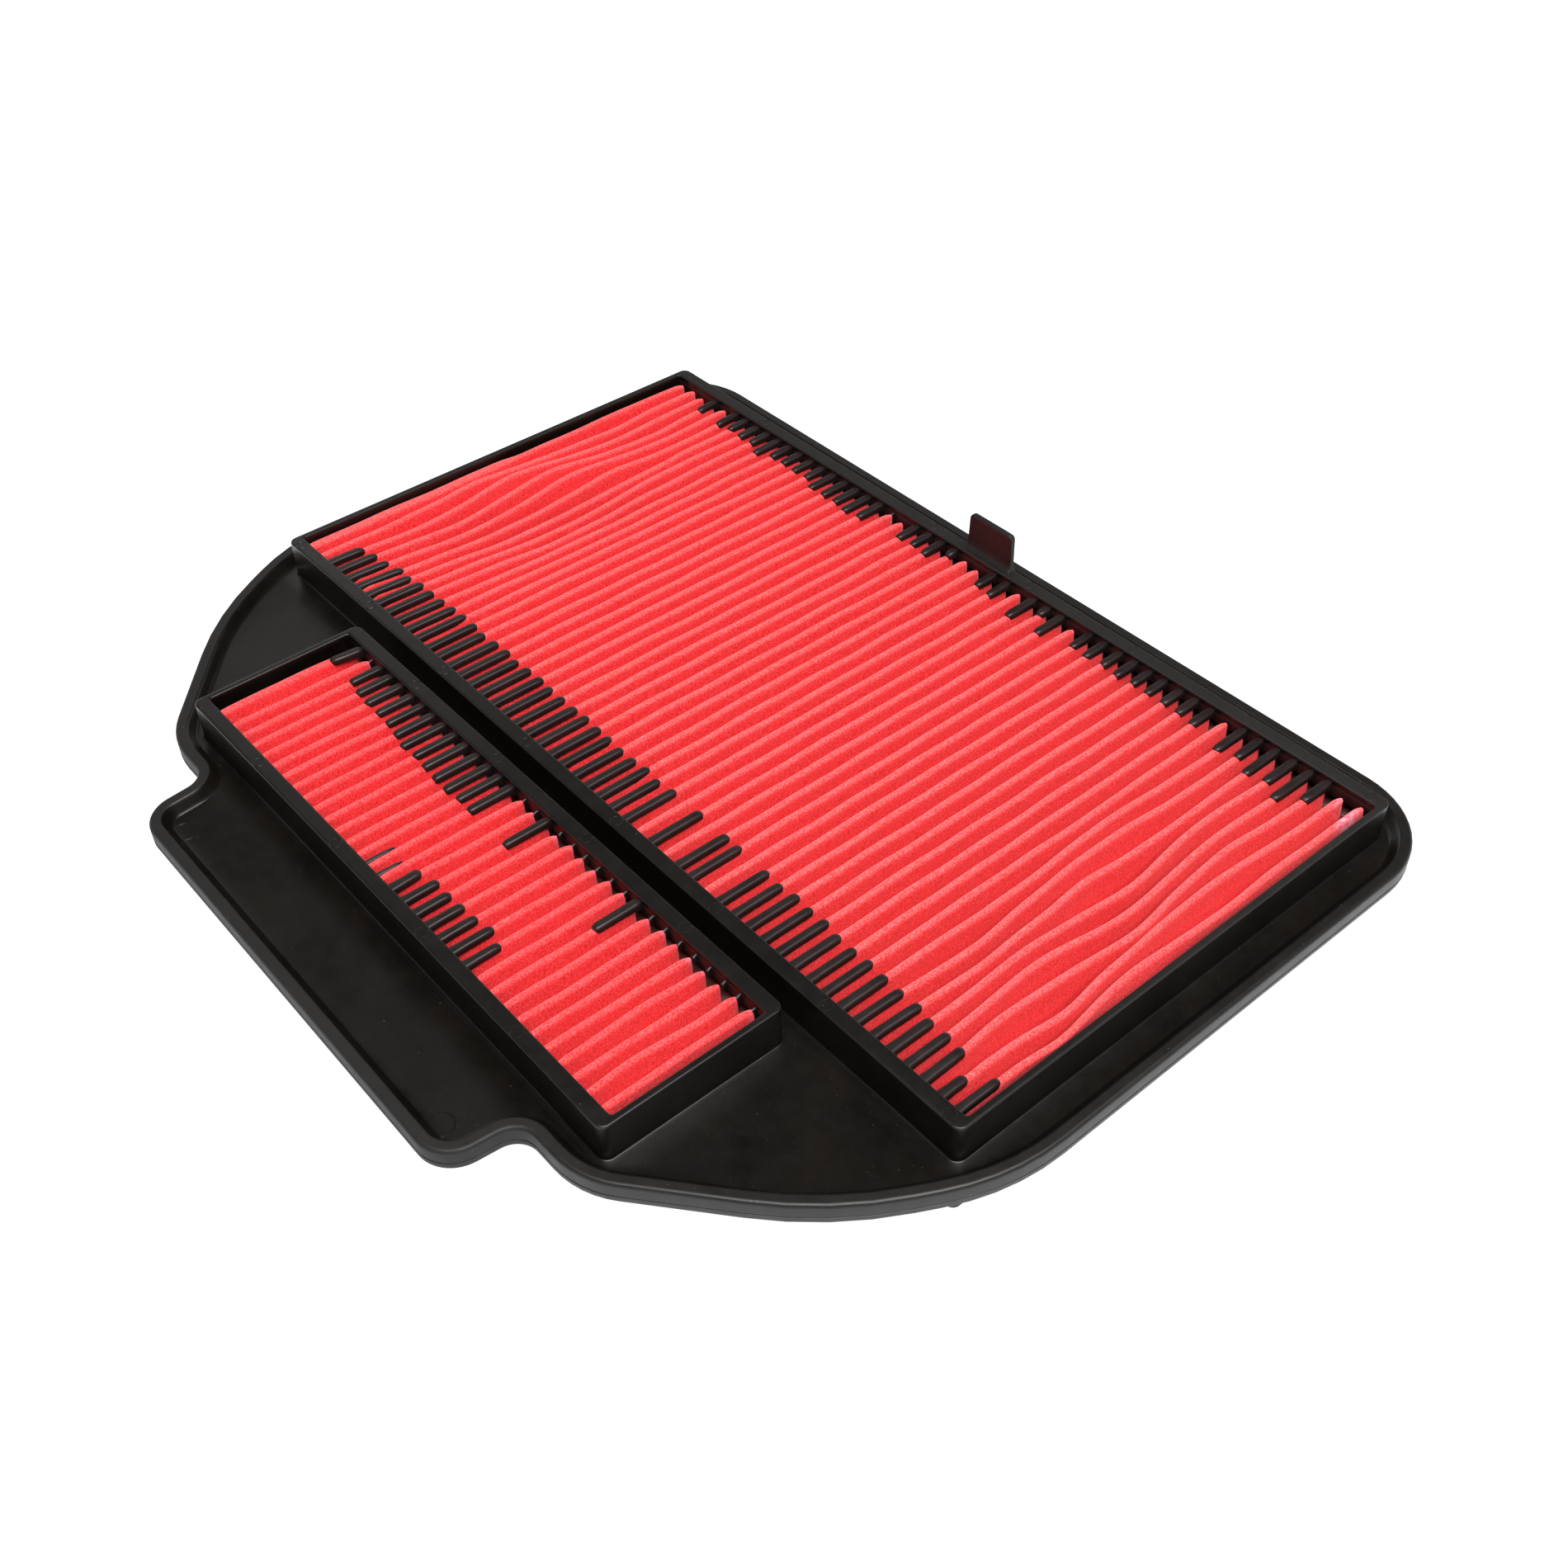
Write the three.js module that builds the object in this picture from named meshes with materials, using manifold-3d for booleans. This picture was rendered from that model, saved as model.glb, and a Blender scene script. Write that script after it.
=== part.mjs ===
// Twin-panel motorcycle air filter: a moulded tray flange carries two pleated panels in raised wells.
// Millimetres, +Z up. X runs along the stack of pleats, Y along each pleat, from the tongue of the
// flange to the side with the lug. The origin is the middle of the underside of the bounding box.
import * as THREE from 'three';
import Module from 'manifold-3d';
import { mergeVertices } from 'three/addons/utils/BufferGeometryUtils.js';

const wasm = await Module();
wasm.setup();

// ---- Driving dimensions ----------------------------------------------------------------------
const LENGTH = 251.4;            // flange, along X
const DEPTH = 203;               // flange, along Y
const GAP = 0.3;                 // between pieces that touch
const ARC_STEP = THREE.MathUtils.degToRad(12);

const HEIGHT = {
  gasketBottom: 9.4,
  flangeBottom: 12,
  floor: 14.5,                   // upper face of the flange
  bead: 17,                      // top of the raised edge round the flange
  rimTop: 24,
  lugTop: 33.7,
};

const WALL = 1.6;                // walls of the wells
const RIM = { width: 3.4, thickness: 1.3 };   // ledge on the long walls, over the comb strips
const WELL_CORNER = 2;
const BEAD_WIDTH = 2.4;

// Each well: half its length, the Y values of its long walls, the height of its underside, the
// number and spacing of the pleat crests that it holds, and how far they stand off its middle.
const LARGE = { half: 116, near: -32.4, far: 91.2, base: 0, crests: 52, pitch: 4.38, shift: 0.3 };
const SMALL = { half: 75.5, near: -78.4, far: -36.7, base: 3, crests: 33, pitch: 4.35, shift: 1.25 };

const LUG = { width: 13.5, thickness: 1.5, middle: 2.5, corner: 1.2 };

const GASKET = { inset: 1.9, width: 2.8 };

// Folded sheet: its two outermost flanks are steeper, with endRun along X, and its folds stop short
// of the long walls.
const MEDIA = { sheet: 0.8, crest: 22.4, endRun: 0.9, nearGap: 3, farGap: 3.4 };

// Bonded strips that close the four sides of each panel.
const BAND = { nearTop: 19.5, farTop: 17.5, endTop: 11 };

// Comb strips under the long rims. A rail lies under the rim, and posts on it carry fingers, each of
// which holds one crest down. Crests are numbered from 0 at the -X end of the well; reach is
// measured from the outer face of the wall.
const RAIL = { bottom: 19.9, top: 22.4 };
const FINGER = { width: 2.05, top: 23.4, tipSteps: 4, taper: 3.6, taperRun: 3 };
const COMBS = [
  { name: 'comb_large_near', well: LARGE, first: 2, last: 51, skip: [30, 32, 35], reach: 16.4 },
  { name: 'comb_large_far', well: LARGE, isFar: true, first: 3, last: 49,
    skip: [4, 20, 25, 26, 29, 33, 43], reach: 13 },
  { name: 'comb_small_near', well: SMALL, first: 14, last: 22, skip: [], reach: 12.4 },
  { name: 'comb_small_far', well: SMALL, isFar: true, first: 0, last: 24,
    skip: [1, 15, 16, 18, 19, 20, 21, 22, 23], reach: 14.6 },
];

// Lower grids that close the wells and carry the folds.
const GRID = { thickness: 2.6, ring: 5, bar: 1.6, cell: 22.5, spigot: 0.6, spigotRise: 2 };

// ---- Materials -------------------------------------------------------------------------------
const paint = (color, roughness) => new THREE.MeshStandardMaterial({ color, roughness, metalness: 0 });
const framePlastic = paint(0x1b1b1a, 0.42);
const combPlastic = paint(0x242220, 0.5);
const gridPlastic = paint(0x1f1f1f, 0.5);
const redFelt = paint(0xf2353a, 0.95);
const gasketRubber = paint(0x2c2d30, 0.75);
const adhesive = paint(0x33302c, 0.6);

// ---- Shape helpers ---------------------------------------------------------------------------
// Turns corners [x, y, radius], listed counter-clockwise, into points with an arc at each corner.
// A positive inset moves every side inwards.
function rounded(corners, inset = 0) {
  const points = [];
  corners.forEach(([x, y, radius], i) => {
    const at = new THREE.Vector2(x, y);
    const before = new THREE.Vector2(...corners.at(i - 1));
    const after = new THREE.Vector2(...corners[(i + 1) % corners.length]);
    const arriving = at.clone().sub(before).normalize();
    const leaving = after.clone().sub(at).normalize();
    const turn = Math.atan2(arriving.cross(leaving), arriving.dot(leaving));
    const inward = new THREE.Vector2(-arriving.y - leaving.y, arriving.x + leaving.x).normalize();
    const corner = at.addScaledVector(inward, inset / Math.cos(turn / 2));
    const bend = Math.max(radius - inset * Math.sign(turn), 0);
    if (bend === 0) {
      points.push(corner);
      return;
    }
    const start = corner.clone().addScaledVector(arriving, -bend * Math.tan(Math.abs(turn) / 2));
    const centre = corner.clone().addScaledVector(inward, (Math.sign(turn) * bend) / Math.cos(turn / 2));
    const steps = Math.ceil(Math.abs(turn) / ARC_STEP);
    for (let k = 0; k <= steps; k++) {
      points.push(start.clone().rotateAround(centre, (turn * k) / steps));
    }
  });
  return points;
}

function rectangle(x0, y0, x1, y1, radius = 0) {
  return rounded([[x0, y0, radius], [x1, y0, radius], [x1, y1, radius], [x0, y1, radius]]);
}

// Upright prism between two heights, with optional holes through it.
function prism(outline, low, high, holes = []) {
  const shape = new THREE.Shape(outline);
  shape.holes = holes.map((hole) => new THREE.Path(hole));
  const geometry = new THREE.ExtrudeGeometry(shape, { depth: high - low, bevelEnabled: false });
  return geometry.translate(0, 0, low);
}

function box(x0, y0, z0, x1, y1, z1) {
  return prism(rectangle(x0, y0, x1, y1), z0, z1);
}

function toSolid(geometry) {
  const bare = geometry.clone();
  bare.deleteAttribute('normal');
  bare.deleteAttribute('uv');
  const merged = mergeVertices(bare);
  const mesh = new wasm.Mesh({
    numProp: 3,
    vertProperties: new Float32Array(merged.attributes.position.array),
    triVerts: new Uint32Array(merged.index.array),
  });
  return new wasm.Manifold(mesh);
}

function toGeometry(solid) {
  const mesh = solid.getMesh();
  const geometry = new THREE.BufferGeometry();
  geometry.setAttribute('position', new THREE.BufferAttribute(mesh.vertProperties, mesh.numProp));
  geometry.setIndex(new THREE.BufferAttribute(mesh.triVerts, 1));
  geometry.computeVertexNormals();
  return geometry;
}

function join(geometries) {
  const [first, ...rest] = geometries.map(toSolid);
  return toGeometry(rest.reduce((sum, solid) => sum.add(solid), first));
}

function cut(geometry, tools) {
  return toGeometry(tools.map(toSolid).reduce((left, tool) => left.subtract(tool), toSolid(geometry)));
}

const group = new THREE.Group();

function addPart(name, geometry, material) {
  const mesh = new THREE.Mesh(geometry, material);
  mesh.name = name;
  group.add(mesh);
}

// ---- Flange outline --------------------------------------------------------------------------
// Right half, from the tongue round to the far side; the left half mirrors it.
function flangeCorners() {
  const halfLength = LENGTH / 2;
  const halfDepth = DEPTH / 2;
  const right = [
    [58.2, -halfDepth, 8],
    [59.8, -85.1, 5],
    [76.4, -85.1, 20],
    [110.1, -56.6, 80],
    [halfLength, -28, 50],
    [halfLength, halfDepth, 21],
  ];
  const left = right.map(([x, y, radius]) => [-x, y, radius]).reverse();
  return [...right, ...left];
}

// ---- Upper frame -----------------------------------------------------------------------------
const wellOuter = (well) => rectangle(-well.half, well.near, well.half, well.far, WELL_CORNER);

// Where the walls and the folds stand on the lower grid, and where the strips clear its spigot.
const aboveGrid = (well) => well.base + GRID.thickness + GAP;
const aboveSpigot = (well) => aboveGrid(well) + GRID.spigotRise;

function wellInner(well, side, end = side) {
  return rectangle(-well.half + end, well.near + side, well.half - end, well.far - side);
}

function wellWalls(well) {
  const ledge = HEIGHT.rimTop - RIM.thickness;
  return [
    prism(wellOuter(well), aboveGrid(well), HEIGHT.rimTop, [wellInner(well, WALL)]),
    prism(wellOuter(well), ledge, HEIGHT.rimTop, [wellInner(well, RIM.width, WALL)]),
  ];
}

function lug() {
  const left = LUG.middle - LUG.width / 2;
  const right = LUG.middle + LUG.width / 2;
  const foot = HEIGHT.rimTop - RIM.thickness;
  const face = rounded([
    [left, foot, 0],
    [right, foot, 0],
    [right, HEIGHT.lugTop, LUG.corner],
    [left, HEIGHT.lugTop, LUG.corner],
  ]);
  const plate = prism(face, 0, LUG.thickness);
  return plate.rotateX(Math.PI / 2).translate(0, LARGE.far, 0);
}

function upperFrame() {
  const corners = flangeCorners();
  const outer = rounded(corners);
  const openings = [LARGE, SMALL].map((well) => wellInner(well, WALL));
  return join([
    prism(outer, HEIGHT.flangeBottom, HEIGHT.floor, openings),
    prism(outer, HEIGHT.flangeBottom, HEIGHT.bead, [rounded(corners, BEAD_WIDTH)]),
    ...wellWalls(LARGE),
    ...wellWalls(SMALL),
    lug(),
  ]);
}

// ---- Gasket under the flange -----------------------------------------------------------------
function gasket() {
  const corners = flangeCorners();
  const outer = rounded(corners, GASKET.inset);
  const inner = rounded(corners, GASKET.inset + GASKET.width);
  return prism(outer, HEIGHT.gasketBottom, HEIGHT.flangeBottom - GAP, [inner]);
}

// ---- Pleated media ---------------------------------------------------------------------------
const crestX = (well, crest) => (crest - (well.crests - 1) / 2) * well.pitch + well.shift;

// X of either end of the folded sheet; side is -1 or 1.
const mediaEnd = (well, side) => crestX(well, side < 0 ? 0 : well.crests - 1) + side * MEDIA.endRun;

// The folded sheet runs up and down along X and each fold is as long as its well along Y.
function pleatedSheet(well) {
  const { crests, pitch, near, far } = well;
  const low = aboveGrid(well);
  const rise = (MEDIA.crest - low) / (1 + (2 * MEDIA.sheet) / pitch);
  const upright = MEDIA.crest - low - rise;
  const lower = [new THREE.Vector2(mediaEnd(well, -1), low)];
  for (let crest = 0; crest < crests; crest++) {
    const x = crestX(well, crest);
    const isLast = crest === crests - 1;
    lower.push(new THREE.Vector2(x, low + rise));
    lower.push(new THREE.Vector2(isLast ? mediaEnd(well, 1) : x + pitch / 2, low));
  }
  const upper = lower.map((point) => new THREE.Vector2(point.x, point.y + upright)).reverse();
  const start = near + WALL + MEDIA.nearGap;
  const end = far - WALL - MEDIA.farGap;
  const sheet = prism([...lower, ...upper], 0, end - start);
  return sheet.rotateX(Math.PI / 2).translate(0, end, 0);
}

// ---- Bonded strips that seal the four sides of each panel ------------------------------------
function sideBand(well, isFar) {
  const { half, near, far } = well;
  const inset = WALL + GAP;
  const width = (isFar ? MEDIA.farGap : MEDIA.nearGap) - 2 * GAP;
  const start = isFar ? far - inset - width : near + inset;
  const top = isFar ? BAND.farTop : BAND.nearTop;
  return box(inset - half, start, aboveSpigot(well), half - inset, start + width, top);
}

function endBand(well, side) {
  const { half, near, far } = well;
  const inner = mediaEnd(well, side) + side * GAP;
  const outer = side * (half - WALL - GAP);
  const start = near + WALL + MEDIA.nearGap;
  const end = far - WALL - MEDIA.farGap;
  return box(Math.min(inner, outer), start, aboveSpigot(well), Math.max(inner, outer), end, BAND.endTop);
}

// ---- Comb strips -----------------------------------------------------------------------------
// One finger as outline points (along the wall, away from the wall), with a round tip.
function fingerOutline(middle, root, reach) {
  const radius = FINGER.width / 2;
  const points = [[middle + radius, root], [middle - radius, root]];
  for (let k = 0; k <= FINGER.tipSteps; k++) {
    const angle = Math.PI * (1 - k / FINGER.tipSteps);
    points.push([middle + radius * Math.cos(angle), reach - radius + radius * Math.sin(angle)]);
  }
  return points;
}

function comb({ well, isFar, first, last, skip, reach }) {
  const place = ([x, away]) => new THREE.Vector2(x, isFar ? well.far - away : well.near + away);
  const slab = (points, low, high) => prism(points.map(place), low, high);
  const strip = (halfLength, middle, start, end, low, high) => slab([
    [middle - halfLength, start],
    [middle + halfLength, start],
    [middle + halfLength, end],
    [middle - halfLength, end],
  ], low, high);
  const root = RIM.width + GAP;
  const railEnd = WALL + MEDIA.nearGap - GAP;
  const halfRail = well.half - WALL - GAP;
  const parts = [strip(halfRail, 0, WALL + GAP, railEnd, RAIL.bottom, RAIL.top)];
  for (let crest = first; crest <= last; crest++) {
    if (skip.includes(crest)) {
      continue;
    }
    const x = crestX(well, crest);
    const fromEnd = Math.min(crest - first, last - crest);
    const taper = FINGER.taper * Math.exp(-fromEnd / FINGER.taperRun);
    parts.push(strip(FINGER.width / 2, x, root, railEnd, RAIL.bottom, FINGER.top));
    parts.push(slab(fingerOutline(x, root, reach - taper), MEDIA.crest + GAP, FINGER.top));
  }
  return join(parts);
}

// ---- Lower grids -----------------------------------------------------------------------------
// Splits a span into equal cells no wider than GRID.cell, with bars between them.
function cellSpans(start, end) {
  const count = Math.ceil((end - start + GRID.bar) / (GRID.cell + GRID.bar));
  const pitch = (end - start + GRID.bar) / count;
  return Array.from({ length: count }, (_, i) => [start + i * pitch, start + (i + 1) * pitch - GRID.bar]);
}

function lowerGrid(well) {
  const { half, near, far, base } = well;
  const top = base + GRID.thickness;
  const spansX = cellSpans(GRID.ring - half, half - GRID.ring);
  const spansY = cellSpans(near + GRID.ring, far - GRID.ring);
  const cell = ([x0, x1], [y0, y1]) => box(x0, y0, base - 1, x1, y1, top + 1);
  const cells = spansX.flatMap((spanX) => spansY.map((spanY) => cell(spanX, spanY)));
  const plate = prism(wellOuter(well), base, top);
  const spigotOuter = wellInner(well, WALL + GAP);
  const spigotInner = wellInner(well, WALL + GAP + GRID.spigot);
  const spigot = prism(spigotOuter, (base + top) / 2, top + GRID.spigotRise, [spigotInner]);
  return cut(join([plate, spigot]), cells);
}

// ---- Assembly --------------------------------------------------------------------------------
addPart('upper_frame', upperFrame(), framePlastic);
addPart('flange_gasket', gasket(), gasketRubber);
for (const [size, well] of [['large', LARGE], ['small', SMALL]]) {
  addPart(`media_${size}`, pleatedSheet(well), redFelt);
  addPart(`lower_grid_${size}`, lowerGrid(well), gridPlastic);
  addPart(`side_band_${size}_near`, sideBand(well, false), adhesive);
  addPart(`side_band_${size}_far`, sideBand(well, true), adhesive);
  addPart(`end_band_${size}_left`, endBand(well, -1), adhesive);
  addPart(`end_band_${size}_right`, endBand(well, 1), adhesive);
}
for (const spec of COMBS) {
  addPart(spec.name, comb(spec), combPlastic);
}

export default group;
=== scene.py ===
"""Twin-panel motorcycle air filter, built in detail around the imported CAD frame.

Lengths in the constants and in the mesh helpers are in millimetres; to_object() turns them into
metres. X runs along the stack of pleats, Y along each pleat towards the lug, and Z is up.
"""

import math
import random

import bmesh
import bpy
from mathutils import Matrix, Vector
from mathutils.geometry import tessellate_polygon


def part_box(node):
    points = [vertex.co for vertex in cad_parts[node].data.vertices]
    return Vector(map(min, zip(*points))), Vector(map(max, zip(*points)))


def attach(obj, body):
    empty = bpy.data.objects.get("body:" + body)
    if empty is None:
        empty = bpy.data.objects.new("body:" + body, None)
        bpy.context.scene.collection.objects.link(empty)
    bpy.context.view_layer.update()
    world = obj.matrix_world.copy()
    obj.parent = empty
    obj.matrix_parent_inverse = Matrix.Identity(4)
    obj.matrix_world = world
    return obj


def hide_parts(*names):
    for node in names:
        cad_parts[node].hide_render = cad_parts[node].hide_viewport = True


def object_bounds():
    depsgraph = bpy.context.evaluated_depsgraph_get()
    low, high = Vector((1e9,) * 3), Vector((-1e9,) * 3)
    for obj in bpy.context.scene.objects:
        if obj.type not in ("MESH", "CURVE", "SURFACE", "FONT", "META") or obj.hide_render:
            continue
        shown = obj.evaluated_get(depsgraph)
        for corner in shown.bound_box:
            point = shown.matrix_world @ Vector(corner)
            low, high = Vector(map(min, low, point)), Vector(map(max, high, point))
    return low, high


MM = 0.001
BODY = "root"

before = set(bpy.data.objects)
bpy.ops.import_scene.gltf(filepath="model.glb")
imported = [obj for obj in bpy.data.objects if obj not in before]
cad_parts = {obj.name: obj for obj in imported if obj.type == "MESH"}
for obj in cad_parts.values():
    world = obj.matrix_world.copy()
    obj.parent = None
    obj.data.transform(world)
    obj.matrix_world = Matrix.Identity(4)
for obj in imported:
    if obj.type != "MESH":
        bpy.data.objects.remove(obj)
cad_low, cad_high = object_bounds()

# ---- Heights and sections that the frame's boxes don't give -----------------------------------
FLANGE_BOTTOM = 12.0
FLOOR = 14.5
BEAD_TOP = 17.0
RIM_TOP = 24.0
LEDGE = 22.7                     # underside of the long rims
WALL = 1.6
RIM = 3.4                        # width of the long rims
WELL_CORNER = 2.0
ABOVE_GRID = 2.9                 # from the underside of a grid to the walls and folds above it
FLANGE_SECTION_STEPS = 14        # of the soft slope inside the raised edge
ARC_STEP = math.radians(7)


def box_mm(node):
    low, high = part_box(node)
    return low / MM, high / MM


def well(size, crests, pitch, shift):
    """A well's outer walls and underside, from its lower grid, and the crests of its pleats, which
    stand a little off its middle."""
    low, high = box_mm(f"lower_grid_{size}")
    return {
        "size": size, "half": high.x, "near": low.y, "far": high.y, "base": low.z,
        "crests": crests, "pitch": pitch, "shift": shift,
    }


LARGE = well("large", 52, 4.38, 0.3)
SMALL = well("small", 33, 4.35, 1.25)
FRAME_LOW, FRAME_HIGH = box_mm("upper_frame")


def crest_x(place, crest):
    return (crest - (place["crests"] - 1) / 2) * place["pitch"] + place["shift"]


# ---- Mesh helpers -----------------------------------------------------------------------------
class Shell:
    """Vertices and faces of one piece, in millimetres."""

    def __init__(self):
        self.points = []
        self.faces = []

    def ring(self, points):
        start = len(self.points)
        self.points.extend(points)
        return list(range(start, start + len(points)))

    def bridge(self, a, b, closed=True):
        count = len(a)
        for i in range(count if closed else count - 1):
            j = (i + 1) % count
            self.faces.append((a[i], b[i], b[j], a[j]))

    def cap(self, ring):
        self.faces.append(tuple(ring))

    def plane(self, rings):
        """Fills the flat area between the first ring and the others, which are holes in it."""
        loops = [[Vector(self.points[i]) for i in ring] for ring in rings]
        flat = [i for ring in rings for i in ring]
        for triangle in tessellate_polygon(loops):
            self.faces.append(tuple(flat[i] for i in triangle))

    def loft(self, sections, cap_ends=True):
        rings = [self.ring(section) for section in sections]
        for a, b in zip(rings, rings[1:]):
            self.bridge(a, b)
        if cap_ends:
            self.cap(rings[0])
            self.cap(rings[-1])
        return rings


def to_object(shell, name, material, smooth_angle=35):
    mesh = bpy.data.meshes.new(name)
    mesh.from_pydata([Vector(p) * MM for p in shell.points], [], shell.faces)
    work = bmesh.new()
    work.from_mesh(mesh)
    bmesh.ops.recalc_face_normals(work, faces=work.faces)
    work.to_mesh(mesh)
    work.free()
    mesh.shade_smooth()
    mesh.set_sharp_from_angle(angle=math.radians(smooth_angle))
    mesh.materials.append(material)
    piece = bpy.data.objects.new(name, mesh)
    bpy.context.scene.collection.objects.link(piece)
    return piece


def stand_for(piece, node):
    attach(piece, BODY)
    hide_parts(node)
    return piece


def write_attribute(piece, name, values):
    """Stores one number for each vertex, which a material reads by name."""
    data = piece.data.attributes.new(name, "FLOAT", "POINT")
    data.data.foreach_set("value", values)


def rounded(corners, inset=0.0):
    """Corners (x, y, radius), counter-clockwise, as points with an arc at each corner. The number
    of points doesn't depend on the inset, so outlines of one shape can be bridged."""
    points = []
    for i, (x, y, radius) in enumerate(corners):
        at = Vector((x, y))
        arriving = (at - Vector(corners[i - 1][:2])).normalized()
        leaving = (Vector(corners[(i + 1) % len(corners)][:2]) - at).normalized()
        turn = math.atan2(arriving.x * leaving.y - arriving.y * leaving.x, arriving.dot(leaving))
        inward = Vector((-arriving.y - leaving.y, arriving.x + leaving.x)).normalized()
        corner = at + inward * (inset / math.cos(turn / 2))
        side = math.copysign(1, turn)
        bend = max(radius - inset * side, 0.05)
        start = corner - arriving * bend * math.tan(abs(turn) / 2)
        centre = corner + inward * (side * bend / math.cos(turn / 2))
        steps = math.ceil(abs(turn) / ARC_STEP)
        for k in range(steps + 1):
            points.append(centre + Matrix.Rotation(turn * k / steps, 2) @ (start - centre))
    return points


def at_height(points, z):
    return [(p[0], p[1], z) for p in points]


def rectangle(x0, y0, x1, y1, radius):
    return rounded([(x0, y0, radius), (x1, y0, radius), (x1, y1, radius), (x0, y1, radius)])


def arc(centre_a, centre_b, radius, start, end, steps=4):
    """Points on an arc from one angle to another, in degrees."""
    angles = [math.radians(start + (end - start) * k / steps) for k in range(steps + 1)]
    return [(centre_a + radius * math.cos(t), centre_b + radius * math.sin(t)) for t in angles]


def smooth_step(value):
    """Rises softly from 0 to 1 while the value does, and stays flat outside that range."""
    t = min(max(value, 0.0), 1.0)
    return t * t * (3 - 2 * t)


def bump(value, spread):
    """1 where the value is 0, falling away softly to both sides."""
    return math.exp(-((value / spread) ** 2))


class Ripple:
    """A smooth random line: a few sine waves with seeded phases, scaled to about -1 to 1."""

    def __init__(self, seed, waves=(0.011, 0.023, 0.047)):
        source = random.Random(seed)
        self.terms = [(w * source.uniform(0.8, 1.25), source.uniform(0, math.tau)) for w in waves]

    def __call__(self, along):
        return sum(math.sin(math.tau * w * along + p) for w, p in self.terms) / len(self.terms)


# ---- Materials --------------------------------------------------------------------------------
class Nodes:
    """A material's node tree, with short ways to add and link nodes."""

    def __init__(self, name):
        self.material = bpy.data.materials.new(name)
        self.material.use_nodes = True
        self.tree = self.material.node_tree
        self.shader = self.tree.nodes["Principled BSDF"]
        self.place = self.tree.nodes.new("ShaderNodeTexCoord").outputs["Object"]

    def add(self, kind, **settings):
        node = self.tree.nodes.new(kind)
        for key, value in settings.items():
            setattr(node, key, value)
        return node

    def link(self, source, target):
        self.tree.links.new(source, target)

    def noise(self, size, detail=4.0, roughness=0.55, stretch=None):
        """Noise with features of about that size, in millimetres."""
        node = self.add("ShaderNodeTexNoise")
        node.inputs["Scale"].default_value = 1 / (size * MM)
        node.inputs["Detail"].default_value = detail
        node.inputs["Roughness"].default_value = roughness
        place = self.place
        if stretch:
            mapping = self.add("ShaderNodeMapping")
            mapping.inputs["Scale"].default_value = stretch
            self.link(self.place, mapping.inputs["Vector"])
            place = mapping.outputs["Vector"]
        self.link(place, node.inputs["Vector"])
        return node.outputs["Fac"]

    def ramp(self, factor, *stops):
        node = self.add("ShaderNodeValToRGB")
        for k, (position, color) in enumerate(stops):
            stop = node.color_ramp.elements[k] if k < 2 else node.color_ramp.elements.new(position)
            stop.position = position
            stop.color = (*color, 1.0)
        self.link(factor, node.inputs["Fac"])
        return node.outputs["Color"]

    def spread(self, factor, low, high, from_low=0.3, from_high=0.7):
        node = self.add("ShaderNodeMapRange")
        for name, value in (
            ("From Min", from_low), ("From Max", from_high), ("To Min", low), ("To Max", high),
        ):
            node.inputs[name].default_value = value
        self.link(factor, node.inputs["Value"])
        return node.outputs["Result"]

    def math(self, operation, a, b):
        node = self.add("ShaderNodeMath", operation=operation)
        for socket, value in zip(node.inputs, (a, b)):
            if isinstance(value, (int, float)):
                socket.default_value = value
            else:
                self.link(value, socket)
        return node.outputs[0]

    def mix(self, factor, a, b):
        node = self.add("ShaderNodeMix", data_type="RGBA")
        sockets = [s for s in node.inputs if s.enabled]
        self.link(factor, sockets[0])
        for socket, value in zip(sockets[1:], (a, b)):
            if isinstance(value, tuple):
                socket.default_value = (*value, 1.0)
            else:
                self.link(value, socket)
        return next(s for s in node.outputs if s.enabled)

    def attribute(self, name):
        return self.add("ShaderNodeAttribute", attribute_name=name).outputs["Fac"]

    def bumps(self, *layers):
        """Chains bump nodes: each layer is (height, strength, depth in millimetres)."""
        normal = None
        for height, strength, depth in layers:
            node = self.add("ShaderNodeBump")
            node.inputs["Strength"].default_value = strength
            node.inputs["Distance"].default_value = depth * MM
            self.link(height, node.inputs["Height"])
            if normal is not None:
                self.link(normal, node.inputs["Normal"])
            normal = node.outputs["Normal"]
        self.link(normal, self.shader.inputs["Normal"])

    def set(self, **constants):
        for name, value in constants.items():
            self.shader.inputs[name.replace("_", " ")].default_value = value


def satin_plastic(name, dark, light, rough, dust=0.0):
    """Moulded black plastic: cloudy colour, satin patches, fine grain and a few specks of dust. The
    attribute "scuffed" is 1 where it is dull, and 0 on pieces that don't have it."""
    n = Nodes(name)
    cloud = n.noise(11, detail=6)
    color = n.ramp(cloud, (0.34, dark), (0.68, light))
    if dust:
        specks = n.spread(n.noise(0.45, detail=1), 0.0, dust, 0.77, 0.81)
        color = n.mix(specks, color, (0.34, 0.31, 0.31))
    n.link(color, n.shader.inputs["Base Color"])
    satin = n.spread(n.noise(3.5, detail=5), *rough)
    dull = n.math("MULTIPLY", n.attribute("scuffed"), 0.3)
    n.link(n.math("ADD", satin, dull), n.shader.inputs["Roughness"])
    n.bumps((n.noise(0.35, detail=3), 0.22, 0.03), (n.noise(9, detail=3), 0.12, 0.12))
    n.set(Specular_IOR_Level=0.4)
    return n.material


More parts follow.
